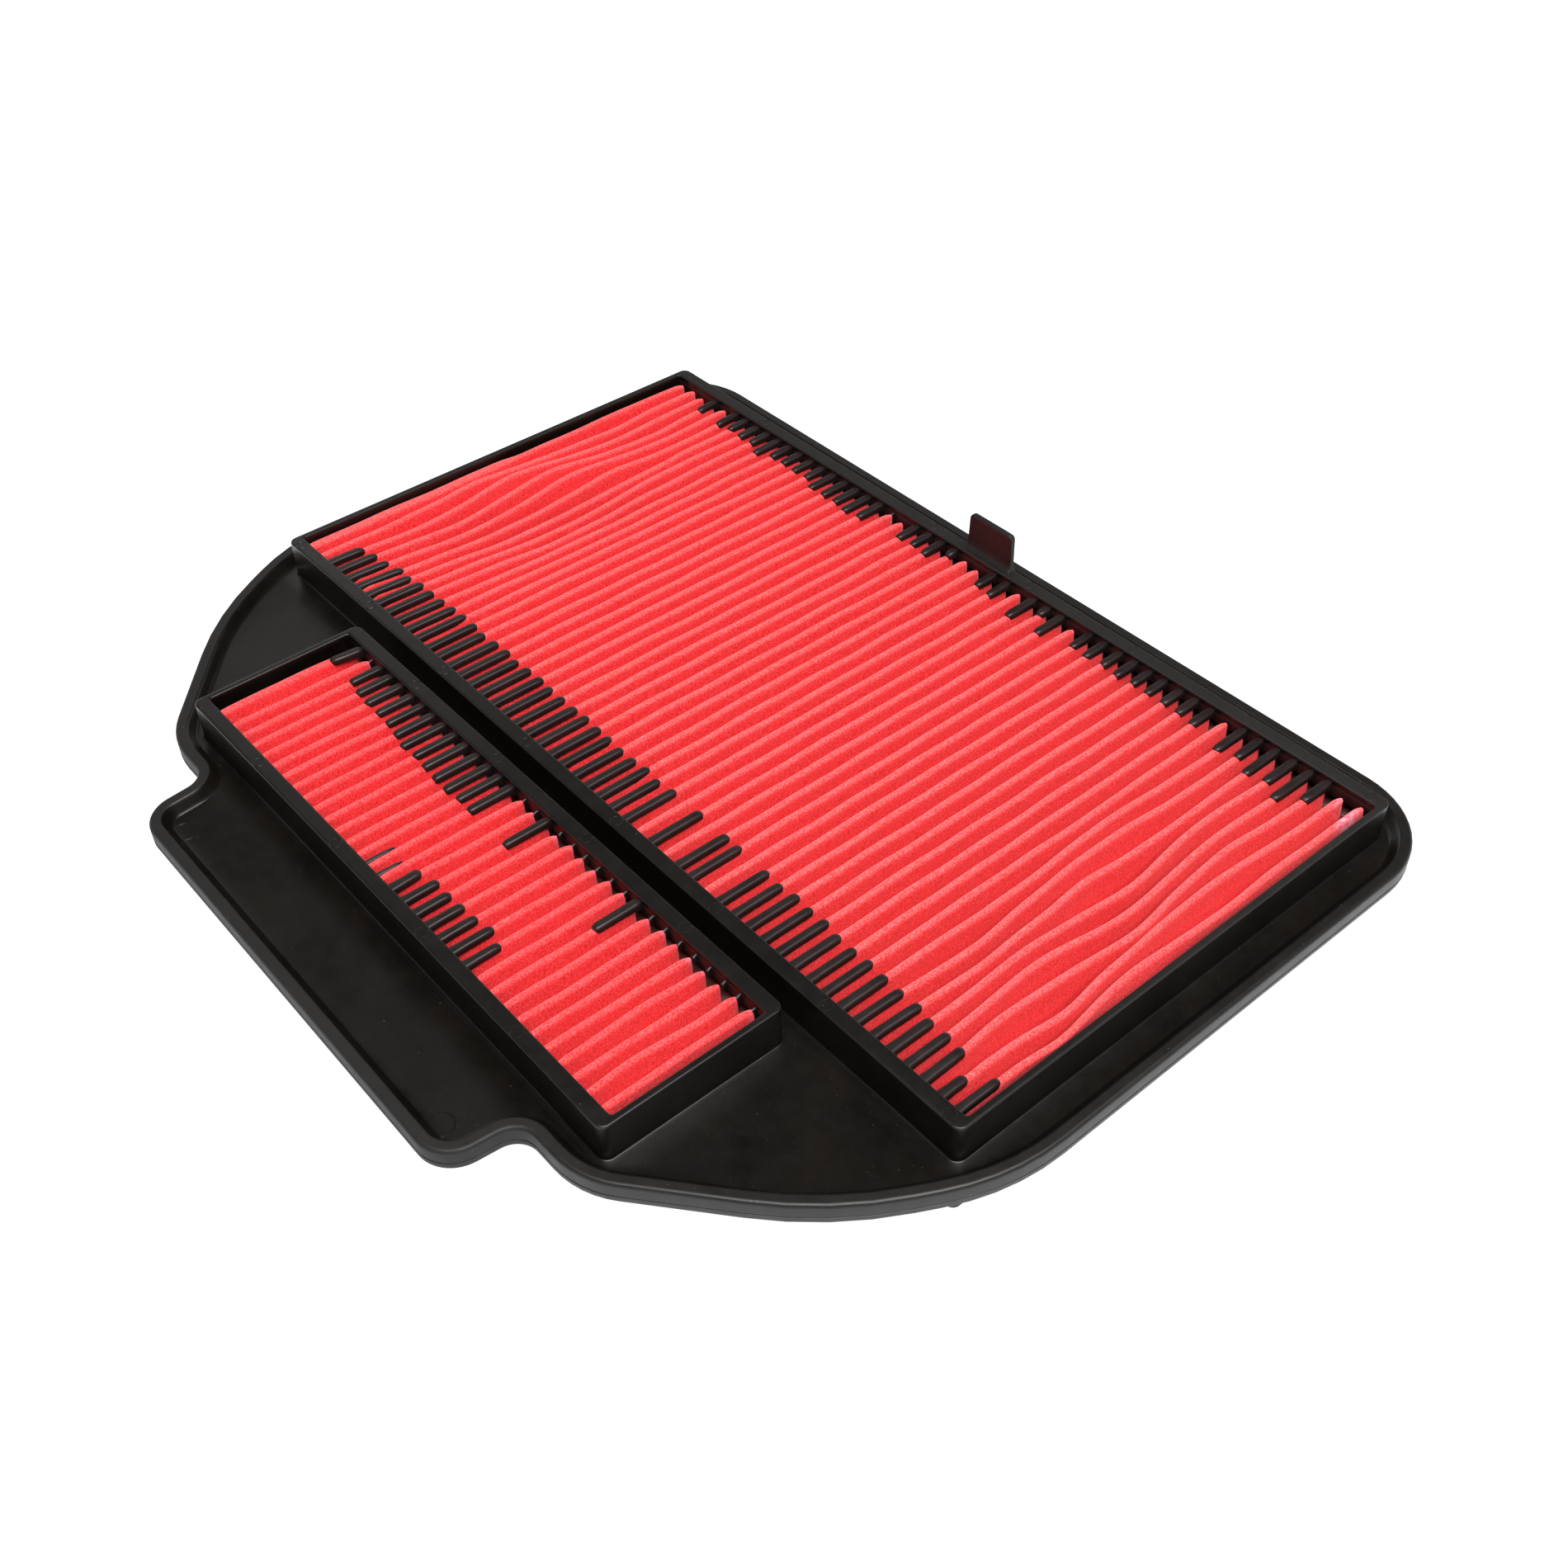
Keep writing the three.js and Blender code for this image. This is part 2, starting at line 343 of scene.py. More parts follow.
def red_felt():
    """Thick needled felt: red fibres, and a paler painted highlight along the crests."""
    n = Nodes("red_felt")
    fibres = n.noise(0.4, detail=6, roughness=0.75)
    patches = n.noise(6, detail=3)
    flank = n.ramp(fibres, (0.42, (0.7, 0.012, 0.017)), (0.6, (1.0, 0.084, 0.09)))
    flank = n.mix(n.spread(patches, 0.0, 0.3), flank, (0.93, 0.024, 0.032))
    # painted highlight: a paler red laid over the crests of the folds, where the attribute "crest" is
    # high
    crest = n.ramp(fibres, (0.4, (0.88, 0.05, 0.052)), (0.61, (1.0, 0.22, 0.215)))
    crest_highlight = n.math("MULTIPLY", n.attribute("crest"), n.spread(fibres, 0.6, 1.1))
    color = n.mix(n.spread(crest_highlight, 0.0, 1.0, 0.0, 1.0), flank, crest)
    threads = n.noise(1.3, detail=6, roughness=0.7, stretch=(2.4, 0.7, 1.0))
    glue = n.math("MULTIPLY", n.attribute("glue"), n.spread(threads, 0.0, 0.8, 0.4, 0.66))
    color = n.mix(glue, color, (0.72, 0.56, 0.76))
    n.link(color, n.shader.inputs["Base Color"])
    grain = n.noise(0.3, detail=5, roughness=0.75)
    n.bumps((grain, 0.75, 0.12), (n.noise(1.6, detail=4), 0.4, 0.2))
    n.set(Roughness=0.95, Specular_IOR_Level=0.08, Sheen_Weight=0.2, Sheen_Roughness=0.5)
    n.set(Sheen_Tint=(1.0, 0.4, 0.38, 1.0))
    return n.material


def gasket_rubber():
    n = Nodes("gasket_rubber")
    n.link(n.ramp(n.noise(2.2), (0.35, (0.02, 0.02, 0.022)), (0.7, (0.04, 0.041, 0.044))),
           n.shader.inputs["Base Color"])
    n.link(n.spread(n.noise(0.8), 0.62, 0.82), n.shader.inputs["Roughness"])
    n.bumps((n.noise(0.25, detail=4), 0.5, 0.06))
    return n.material


def dried_adhesive():
    n = Nodes("dried_adhesive")
    # dark adhesive; the red in this colour is a painted reflection of the felt in the pockets between
    # the folds
    n.link(n.ramp(n.noise(3), (0.35, (0.035, 0.01, 0.009)), (0.7, (0.08, 0.02, 0.018))),
           n.shader.inputs["Base Color"])
    n.link(n.spread(n.noise(1.4), 0.25, 0.5), n.shader.inputs["Roughness"])
    n.bumps((n.noise(1.2, detail=4), 0.6, 0.3))
    return n.material


# ---- Camera, light and floor ------------------------------------------------------------------
CAMERA_AIM = (28.5, 3.2, 22.0)   # the point that the camera looks at
CAMERA_DISTANCE = 367.0
CAMERA_AZIMUTH = 50.0            # degrees; 0 looks along +Y, and 90 along -X
CAMERA_ELEVATION = 43.0
CAMERA_ROLL = -0.9
CAMERA_LENS = 40.45
SENSOR_WIDTH = 36

COVE = ((3.2, 0.0), (3.6, 0.04), (3.9, 0.2), (4.0, 0.45), (4.0, 1.3))   # (radius, height), metres
COVE_SIDES = 64
FLOOR_GAP = 0.05                 # keeps the floor clear of the underside of the grids


def add_camera():
    azimuth = math.radians(CAMERA_AZIMUTH)
    elevation = math.radians(CAMERA_ELEVATION)
    roll = math.radians(CAMERA_ROLL)
    level = Vector((math.cos(azimuth), math.sin(azimuth), 0))
    forward = Vector((-math.sin(azimuth), math.cos(azimuth), 0))
    ahead = forward * math.cos(elevation) - Vector((0, 0, 1)) * math.sin(elevation)
    right = level * math.cos(roll) + level.cross(ahead) * math.sin(roll)
    up = right.cross(ahead)
    data = bpy.data.cameras.new("camera")
    data.lens = CAMERA_LENS
    data.sensor_width = SENSOR_WIDTH
    data.clip_start = 0.01
    camera = bpy.data.objects.new("camera", data)
    place = (Vector(CAMERA_AIM) - ahead * CAMERA_DISTANCE) * MM
    turn = Matrix((right, up, -ahead)).transposed()
    camera.matrix_world = Matrix.Translation(place) @ turn.to_4x4()
    bpy.context.scene.collection.objects.link(camera)
    bpy.context.scene.camera = camera


def add_light(name, place, target, size, power, color=(1, 1, 1)):
    data = bpy.data.lights.new(name, "AREA")
    data.shape = "DISK"
    data.size = size
    data.energy = power
    data.color = color
    light = bpy.data.objects.new(name, data)
    light.location = place
    light.rotation_mode = "QUATERNION"
    light.rotation_quaternion = (Vector(target) - Vector(place)).to_track_quat("-Z", "Y")
    bpy.context.scene.collection.objects.link(light)


def add_floor():
    """A pale floor that curves up far behind the object, so that low views have no horizon."""
    n = Nodes("pale_floor")
    n.link(n.ramp(n.noise(60, detail=2), (0.3, (0.29, 0.29, 0.29)), (0.7, (0.32, 0.32, 0.32))),
           n.shader.inputs["Base Color"])
    n.set(Roughness=0.9, Specular_IOR_Level=0.1, Emission_Strength=1.0)
    n.set(Emission_Color=(0.97, 0.98, 1.0, 1.0))
    shell = Shell()
    angles = [math.tau * k / COVE_SIDES for k in range(COVE_SIDES)]
    rings = []
    for radius, z in COVE:
        rings.append(shell.ring([(radius * math.cos(t), radius * math.sin(t), z) for t in angles]))
    shell.cap(rings[0])
    for a, b in zip(rings, rings[1:]):
        shell.bridge(a, b)
    mesh = bpy.data.meshes.new("floor")
    mesh.from_pydata(shell.points, [], shell.faces)
    mesh.materials.append(n.material)
    floor = bpy.data.objects.new("floor", mesh)
    floor.location.z = cad_low.z - FLOOR_GAP * MM
    bpy.context.scene.collection.objects.link(floor)


def add_studio():
    scene = bpy.context.scene
    scene.view_settings.view_transform = "Standard"
    world = bpy.data.worlds.new("studio")
    world.use_nodes = True
    sky = world.node_tree.nodes["Background"]
    sky.inputs["Color"].default_value = (0.97, 0.98, 1.0, 1.0)
    sky.inputs["Strength"].default_value = 0.055
    scene.world = world
    add_light("key", (0.4, -0.1, 1.2), (0, 0, 0.02), 1.1, 31.0)
    add_light("back", (-1.3, 0.4, 0.8), (0, 0, 0.02), 0.6, 0.7)
    add_floor()
    add_camera()


# ---- Upper frame ------------------------------------------------------------------------------
LUG = {"middle": 2.5, "width": 13.5, "thickness": 1.5, "corner": 1.3}
LUG_ROOT = 0.4                   # how far the lug reaches down into the rim

EJECTOR_RADIUS = 1.3
EJECTOR_TUBE = 0.13              # radius of the ridge itself
EJECTOR_PITCH = 32               # along the rims
EJECTOR_INSET = 1.6              # from the outer face of the wall
TONGUE_MARK = {"x": 49.5, "inset": 6.0, "radius": 2.6}

SCUFFED_INSET = 2.6              # how far the dull outer edge of the flange reaches in


def flange_corners():
    """Right half from the tongue round to the far side, then its mirror image."""
    half_length = FRAME_HIGH.x
    half_depth = FRAME_HIGH.y
    right = [
        (58.2, -half_depth, 8), (59.8, -85.1, 5), (76.4, -85.1, 20),
        (110.1, -56.6, 80), (half_length, -28, 50), (half_length, half_depth, 21),
    ]
    return right + [(-x, y, radius) for x, y, radius in reversed(right)]


def flange_profile():
    """(inset, height) from the floor up the inner side of the raised edge, over its crown, down its
    outer side past the parting line, and back to the underside."""
    rise = BEAD_TOP - FLOOR
    slope = []
    for k in range(FLANGE_SECTION_STEPS + 1):
        share = k / FLANGE_SECTION_STEPS
        slope.append((4.6 - 2.3 * k / FLANGE_SECTION_STEPS, FLOOR + rise * smooth_step(share)))
    crown = [(2.1, BEAD_TOP), (1.0, BEAD_TOP)]
    shoulder = arc(0.8, BEAD_TOP - 0.8, 0.8, 90, 180, 8)
    side = [(0.0, 13.8), (0.16, 13.72), (0.16, 13.48), (0.0, 13.4)]
    lip = arc(0.5, FLANGE_BOTTOM + 0.5, 0.5, 180, 270, 3)
    return slope + crown + shoulder + side + lip + [(1.6, FLANGE_BOTTOM), (6.0, FLANGE_BOTTOM)]


def wall_profile(base):
    """(inset on long sides, inset on short sides, corner radius, height) from the floor up the
    outer side of a well, over its rim and down inside to its foot, then up to the underside."""
    foot = 0.3
    edge = 0.35
    corner = WELL_CORNER
    rows = [(-1.1, -1.1, corner + 1.1, FLOOR), (-foot, -foot, corner + foot, FLOOR)]
    for inset, z in arc(-foot, FLOOR + foot, foot, -90, 0, 4)[1:]:
        rows.append((inset, inset, corner - inset, z))
    rows.append((0, 0, corner, RIM_TOP - edge - 0.6))
    for inset, z in arc(edge, RIM_TOP - edge, edge, 180, 90, 5):
        rows.append((inset, inset, corner - inset, z))
    rows.append((0.8, 0.7, corner - 0.7, RIM_TOP))
    rows.append((RIM - 0.6, WALL - 0.6, 0.8, RIM_TOP))
    for inset, z in arc(0, RIM_TOP - 0.35, 0.35, 90, 0, 3):
        rows.append((RIM - 0.35 + inset, WALL - 0.35 + inset, 0.8, z))
    rows.append((RIM, WALL, 0.5, LEDGE))
    rows.append((WALL, WALL + 0.02, 0.5, LEDGE))
    rows.append((WALL, WALL + 0.02, 0.5, base))
    rows.append((0.3, 0.3, corner - 0.3, base))
    rows.append((0, 0, corner, base + 0.3))
    rows.append((0, 0, corner, FLANGE_BOTTOM - 0.4))
    rows.append((-0.4, -0.4, corner + 0.4, FLANGE_BOTTOM))
    rows.append((-1.0, -1.0, corner + 1.0, FLANGE_BOTTOM))
    return rows


def well_ring(place, side, end, radius, z):
    outline = rectangle(
        -place["half"] + end, place["near"] + side, place["half"] - end, place["far"] - side, radius
    )
    return at_height(outline, z)


def add_lug(shell):
    """Thin upright plate on the far rim, with round upper corners and a flared foot."""
    middle, width, thickness, corner = (LUG[k] for k in ("middle", "width", "thickness", "corner"))
    low, top = RIM_TOP - LUG_ROOT, FRAME_HIGH.z
    heights = [low, low + 0.45, low + 0.7, low + 1.0, low + 1.5, low + 3.0, top - 4.0]
    heights += [top - corner * (1 - math.sin(math.radians(a))) for a in (0, 20, 40, 58, 72, 82, 90)]
    sections = []
    for z in heights:
        flare = 0.9 * (1 - smooth_step((z - low) / 1.5))
        draft = 0.35 * (1 - (z - low) / (top - low))
        rise = max(z - (top - corner), 0)
        drop = corner - math.sqrt(max(corner ** 2 - rise ** 2, 0))
        edge = 0.3 * smooth_step((z - (top - 0.35)) / 0.35)
        half = width / 2 + draft + flare * 0.6 - drop
        back = LARGE["far"] - edge
        front = LARGE["far"] - thickness - flare + edge
        outline = rectangle(middle - half, front, middle + half, back, 0.3)
        sections.append(at_height(outline, z))
    shell.loft(sections)


def add_ejector_mark(shell, x, y, z, radius=EJECTOR_RADIUS):
    """The low round ridge that an ejector pin leaves."""
    tube, turns, sides = EJECTOR_TUBE, 28, 6
    rings = []
    for i in range(turns):
        angle = math.tau * i / turns
        section = []
        for j in range(sides):
            tilt = math.tau * j / sides
            reach = radius + tube * math.cos(tilt)
            section.append((x + reach * math.cos(angle), y + reach * math.sin(angle),
                            z + 0.6 * tube * math.sin(tilt)))
        rings.append(shell.ring(section))
    for a, b in zip(rings, rings[1:] + rings[:1]):
        shell.bridge(a, b)


def add_ejector_marks(shell):
    for place, marks in ((LARGE, 8), (SMALL, 4)):
        for k in range(marks):
            x = (k - (marks - 1) / 2) * EJECTOR_PITCH
            add_ejector_mark(shell, x, place["near"] + EJECTOR_INSET, RIM_TOP)
            add_ejector_mark(shell, x, place["far"] - EJECTOR_INSET, RIM_TOP)
    for x in (-TONGUE_MARK["x"], TONGUE_MARK["x"]):
        add_ejector_mark(shell, x, FRAME_LOW.y + TONGUE_MARK["inset"], FLOOR, TONGUE_MARK["radius"])


def scuff_values(shell, edge):
    """How dull each vertex is: the flange's outer edge, less so towards +X, and the far rim."""
    values = [0.0] * len(shell.points)
    for ring, (inset, z) in zip(edge, flange_profile()):
        if inset < SCUFFED_INSET and z > FLANGE_BOTTOM:
            for i in ring:
                values[i] = 1.0 - 0.62 * smooth_step((shell.points[i][0] - 45) / 50)
    for i, (x, y, z) in enumerate(shell.points):
        if z > RIM_TOP - 0.3:
            values[i] = 0.9 if y > LARGE["far"] - 4 else 0.12
    return values


def upper_frame(material):
    shell = Shell()
    corners = flange_corners()
    edge = [shell.ring(at_height(rounded(corners, inset), z)) for inset, z in flange_profile()]
    walls = []
    for place in (LARGE, SMALL):
        profile = wall_profile(place["base"] + ABOVE_GRID)
        walls.append([shell.ring(well_ring(place, *row)) for row in profile])
    for rings in (edge, *walls):
        for a, b in zip(rings, rings[1:]):
            shell.bridge(a, b)
    shell.plane([edge[0]] + [rings[0] for rings in walls])
    shell.plane([edge[-1]] + [rings[-1] for rings in walls])
    add_lug(shell)
    add_ejector_marks(shell)
    piece = to_object(shell, "upper_frame_moulding", material)
    write_attribute(piece, "scuffed", scuff_values(shell, edge))
    return stand_for(piece, "upper_frame")


# ---- Gasket -----------------------------------------------------------------------------------
GASKET_INSET = 1.9
GASKET_WIDTH = 2.8


def flange_gasket(material):
    """Rubber strip under the flange: a round-cornered bar with two sealing beads below."""
    low, high = box_mm("flange_gasket")
    inset = GASKET_INSET
    width = GASKET_WIDTH
    top = FLANGE_BOTTOM
    beads = []
    for k in range(15):
        share = k / 14
        ridge = 0.35 * abs(math.sin(math.tau * share)) ** 0.7
        beads.append((inset + 0.15 + (width - 0.3) * share, low.z + 0.35 - ridge))
    profile = [(inset + 0.2, top), (inset, top - 0.25), (inset, low.z + 0.7)] + beads
    profile += [(inset + width, low.z + 0.7), (inset + width, top - 0.25), (inset + width - 0.2, top)]
    shell = Shell()
    corners = flange_corners()
    rings = [shell.ring(at_height(rounded(corners, d), z)) for d, z in profile]
    for a, b in zip(rings, rings[1:] + rings[:1]):
        shell.bridge(a, b)
    piece = to_object(shell, "gasket_strip", material)
    return stand_for(piece, "flange_gasket")


# ---- Pleated media ----------------------------------------------------------------------------
SHEET = 0.8
CREST_BEND = 0.42                # radius of the middle of the sheet at a crest and in a valley
CREST_TOP = 22.9                 # upper face of the sheet on a free crest
END_RUN = 1.6                    # of the two outermost flanks, along X
NEAR_GAP = 3.6                   # from the outer face of the near wall to the pleats
FAR_GAP = 4.6
STATION_SPACING = 2.0            # along Y, away from the ends
PINCHED_END = 2.6                # length over which the ends of the folds are pressed together
FREE_AFTER = 16                  # distance from an end at which a crest wanders freely
WANDER = 0.15
PRESSED_DEPTH = 0.32             # how far a comb finger pushes a crest down
# strength of the painted highlight along the crests, for each panel
CREST_HIGHLIGHT = {"large": 1.0, "small": 0.62}
FIRST_FLARE = {"large": 2.0, "small": 1.2}   # of the first flank, towards the short wall
FOLD_SEED = {"large": 11, "small": 12}

# Folds that lean along X: for each crest, where along Y, by how much, and along how much Y.
LEANS = {
    "large": {
        0: [(60, -0.5, 24)],
        1: [(18, -1.9, 11), (55, 1.4, 15)],
        2: [(-4, 1.5, 14), (27, -2.6, 13), (58, 1.5, 17)],
        3: [(3, 2.2, 16), (34, -2.2, 13), (62, 1.6, 17)],
        4: [(4, 2.6, 20), (40, -1.7, 13), (64, 1.2, 15)],
        5: [(10, 3.1, 26), (45, -0.9, 9), (66, 1.2, 14)],
        6: [(15, 3.6, 25), (52, 1.2, 20)],
        7: [(20, 3.3, 26)],
        8: [(22, 2.7, 26)],
        9: [(24, 1.8, 34)],
        10: [(22, 1.0, 36)],
        11: [(22, 0.4, 36)],
        44: [(12, 0.4, 12), (46, -0.8, 15)],
        45: [(-1, 1.4, 12), (37, -1.5, 19)],
        46: [(-5, 0.8, 14), (29, -0.9, 10)],
        47: [(6, -0.7, 10), (35, 1.4, 11), (61, -0.9, 13)],
        48: [(4, -1.3, 12), (30, 1.3, 11), (60, -0.9, 13)],
        49: [(-6, -0.9, 11), (26, 1.3, 10), (56, -1.6, 15)],
        50: [(2, 1.5, 10), (44, -1.7, 21)],
        51: [(-4, 0.9, 7), (20, -1.3, 13), (62, -0.5, 14)],
    },
    "small": {
        0: [(-58, -0.9, 60)],
        16: [(-66, -0.4, 6)],
        26: [(-62, 0.4, 9)],
        29: [(-58, -0.5, 9)],
        31: [(-64, -0.6, 8), (-50, 0.4, 6)],
    },
}


def lean(size, crest, y):
    return sum(by * bump(y - at, spread) for at, by, spread in LEANS[size].get(crest, []))


def pleat_section(place, crest, low):
    """One fold as (x from its crest, height, share of the way up), left valley to right valley."""
    half = place["pitch"] / 2
    top = CREST_TOP - SHEET / 2
    bottom = low + SHEET / 2
    bend = CREST_BEND
    is_first = crest == 0
    is_last = crest == place["crests"] - 1
    arch = arc(0, top - bend, bend, 180, 0, 10)
    points = []
    flank = [0.0, 0.18, 0.4, 0.6, 0.75, 0.86, 0.94]
    left_foot = (-END_RUN, bottom) if is_first else (-half + bend, bottom + bend)
    right_foot = (END_RUN, bottom) if is_last else (half - bend, bottom + bend)
    if not is_first:
        points += arc(-half, bottom + bend, bend, -90, 0, 3)[:-1]
    for share in flank:
        points.append((left_foot[0] + (arch[0][0] - left_foot[0]) * share,
                       left_foot[1] + (arch[0][1] - left_foot[1]) * share))
    points += arch
    for share in reversed(flank):
        points.append((right_foot[0] + (arch[-1][0] - right_foot[0]) * share,
                       right_foot[1] + (arch[-1][1] - right_foot[1]) * share))
    if not is_last:
        points += arc(half, bottom + bend, bend, 180, 270, 3)[1:-1]
    return [(x, z, (z - bottom) / (top - bottom)) for x, z in points]


def sheet_line(place, low):
    """The middle line of the whole folded sheet as (crest, x, z, share up, normal x, normal z)."""
    line = []
    for crest in range(place["crests"]):
        for x, z, up in pleat_section(place, crest, low):
            line.append((crest, crest_x(place, crest), x, z, up))
    result = []
    for i, (crest, middle, x, z, up) in enumerate(line):
        before = line[max(i - 1, 0)]
        after = line[min(i + 1, len(line) - 1)]
        dx = (after[1] + after[2]) - (before[1] + before[2])
        dz = after[3] - before[3]
        length = math.hypot(dx, dz)
        result.append((crest, middle, x, z, up, -dz / length, dx / length))
    return result


def stations(start, end, spacing):
    """Y values along the folds, closer together near both ends."""
    fine = [0, 0.35, 0.8, 1.4, 2.2, 3.2, 4.6, 6.5]
    inner = end - start - 2 * fine[-1]
    steps = max(int(inner / spacing), 4)
    middle = [start + fine[-1] + inner * k / steps for k in range(1, steps)]
    return [start + f for f in fine] + middle + [end - f for f in reversed(fine)]


def glue_marks(size, crest, y, end):
    """Where white adhesive has soaked into the last two folds at the far right corner."""
    if size != "large" or crest < 49:
        return 0.0
    first = 0.8 * bump(crest - 50, 0.6) * bump(y - (end - 1.4), 1.8)
    second = 0.95 * bump(crest - 51, 0.4) * bump(y - (end - 5.4), 3.0)
    return min(first + second, 1.0)


def fold_variations(place):
    """Seeded differences between the folds, one value for each crest."""
    source = random.Random(FOLD_SEED[place["size"]])
    crests = range(place["crests"])
    return {
        "wander": [Ripple(source.random()) for _ in crests],
        "heave": [Ripple(source.random(), (0.02, 0.047)) for _ in crests],
        "cut": [source.uniform(-0.45, 0.45) for _ in crests],
        "fray": [source.uniform(0.0, 0.6) for _ in crests],
    }


def first_flare(size, y, up, top):
    """How far the first flank leans out towards the short wall."""
    flare = FIRST_FLARE[size] * (smooth_step((34 - y) / 8) if size == "large" else 1)
    return flare * bump(up - 0.9, 0.12) / max(top, 0.2)


def surface_marks(size, crest, x, y, up, end, fray):
    """Painted highlight on the upper face at a point, and whiteness from adhesive or loose fibres."""
    # the painted highlight reaches further down the -X side of each crest
    crest_highlight = (up - (0.9 if x < 0 else 0.965)) / 0.06
    frayed = fray * bump(y - end, 0.9) * smooth_step((up - 0.88) / 0.08)
    glue = glue_marks(size, crest, y, end) * smooth_step((up - 0.75) / 0.2)
    return CREST_HIGHLIGHT[size] * smooth_step(crest_highlight), max(glue, frayed)


def media_row(place, line, folds, face, y, start, end):
    """Points and marks of one face of the folded sheet, all along X, at one Y. face is 1 for the
    upper side and -1 for the lower one."""
    size = place["size"]
    pinch_far = max(1 - (end - y) / PINCHED_END, 0) ** 2
    pinch_near = max(1 - (y - start) / PINCHED_END, 0) ** 2
    free = smooth_step((y - start) / FREE_AFTER) * smooth_step((end - y) / FREE_AFTER)
    held = [pressed(size, crest, y) for crest in range(place["crests"])]
    points = []
    marks = []
    for crest, middle, x, z, up, nx, nz in line:
        is_end = (crest == 0 and x < 0) or (crest == place["crests"] - 1 and x > 0)
        top = up ** 5 if is_end else smooth_step(up) ** 0.8
        narrow = 1 - top * (0.42 * pinch_far + 0.12 * pinch_near)
        px = (x + face * nx * SHEET / 2) * narrow
        pz = z + face * nz * SHEET / 2
        shift = lean(size, crest, y) + WANDER * free * folds["wander"][crest](y)
        lift = WANDER * free * folds["heave"][crest](y) - 0.6 * pinch_far - 0.15 * pinch_near
        lift -= PRESSED_DEPTH * held[crest]
        if crest == 0 and x < 0:
            shift -= first_flare(size, y, up, top)
        py = y + folds["cut"][crest] * smooth_step((y - end + 10) / 10)
        points.append((middle + px + shift * top, py, pz + lift * top))
        # the first mark is the painted highlight along the crests, and only the upper face gets it
        crest_highlight, white = surface_marks(size, crest, x, y, up, end, folds["fray"][crest])
        marks.append((crest_highlight if face > 0 else 0.0, white))
    return points, marks


def media(place, material):
    """One felt panel: the folded sheet's two faces, joined along all four edges."""
    size = place["size"]
    start = place["near"] + NEAR_GAP
    end = place["far"] - FAR_GAP
    line = sheet_line(place, place["base"] + ABOVE_GRID)
    rows = stations(start, end, STATION_SPACING)
    folds = fold_variations(place)
    shell = Shell()
    sides = []
    marks = []
    for face in (1, -1):
        grid = []
        for y in rows:
            points, row_marks = media_row(place, line, folds, face, y, start, end)
            grid.append(shell.ring(points))
            marks += row_marks
        for a, b in zip(grid, grid[1:]):
            shell.bridge(a, b, closed=False)
        sides.append(grid)
    upper, lower = sides
    for row in (0, -1):
        shell.bridge(upper[row], lower[row], closed=False)
    for column in (0, -1):
        shell.bridge([r[column] for r in upper], [r[column] for r in lower], closed=False)
    piece = to_object(shell, f"pleated_felt_{size}", material, 80)
    # the attribute "crest" holds the painted highlight along the crests
    write_attribute(piece, "crest", [crest_highlight for crest_highlight, white in marks])
    write_attribute(piece, "glue", [white for crest_highlight, white in marks])
    stand_for(piece, f"media_{size}")
    return piece


# ---- Comb strips ------------------------------------------------------------------------------
FINGER_TOP = 23.4
FINGER_BOTTOM = 21.9
FINGER_WIDTH = 2.05
FINGER_ROOT = RIM - 0.1          # distance from the wall at which the fingers leave the rail
SLIVER_SHIFT = 0.8               # towards -X, because only that edge of the finger was filled
RAIL_BOTTOM = 19.9


def bar_section(width, low, top, round_top):
    """Cross-section of a finger, as (across, height): flat below, with round upper edges."""
    half = width / 2
    bend = min(round_top, half * 0.95, (top - low) * 0.6)
    right = arc(half - bend, top - bend, bend, 0, 90, 4)
    left = arc(-half + bend, top - bend, bend, 90, 180, 4)
    return [(half, low), *right, *left, (-half, low)]


def add_finger(shell, x, away, rows, lean_to=0.0):
    """A bar along Y. Each row is (distance from the wall, width, bottom, top)."""
    last = rows[-1][0]
    first = rows[0][0]
    sections = []
    for reach, width, low, top in rows:
        shift = lean_to * ((reach - first) / (last - first)) ** 2
        sections.append([
            (x + shift + across, away(reach), z) for across, z in bar_section(width, low, top, 0.55)
        ])
    shell.loft(sections)


def finger_rows(root, reach, is_far, source):
    """Stations from the wall to a domed tip. A far finger starts as a narrow rib on the wall."""
    width = FINGER_WIDTH * source.uniform(0.94, 1.06)
    top = FINGER_TOP + source.uniform(-0.08, 0.05)
    rows = []
    if is_far:
        rows += [
            (root, width * 0.6, RAIL_BOTTOM, top - 0.2), (root + 0.5, width * 0.8, 20.8, top - 0.05),
            (root + 1.0, width * 0.95, 21.4, top), (root + 1.6, width, FINGER_BOTTOM, top),
        ]
    else:
        rows += [(root, width * 1.12, FINGER_BOTTOM, top), (root + 3.0, width, FINGER_BOTTOM, top)]
    tip = [(3.0, 1.0, 0.0), (1.5, 0.98, 0.03), (0.95, 0.92, 0.1), (0.6, 0.81, 0.22),
           (0.3, 0.62, 0.42), (0.1, 0.38, 0.66), (0.0, 0.18, 0.88)]
    start = rows[-1][0]
    for back, share, drop in tip:
        at = reach - back
        if at > start + 0.05:
            rows.append((at, width * share, FINGER_BOTTOM, top - drop))
    return rows


def sliver_rows(root, reach):
    """A finger of which only one edge was filled: a thin low bar that ends in a point."""
    top = FINGER_TOP - 0.3
    return [(root, 1.3, FINGER_BOTTOM, top), (reach - 2.0, 1.15, FINGER_BOTTOM, top),
            (reach - 0.6, 0.8, FINGER_BOTTOM, top - 0.2), (reach, 0.2, FINGER_BOTTOM, top - 0.7)]


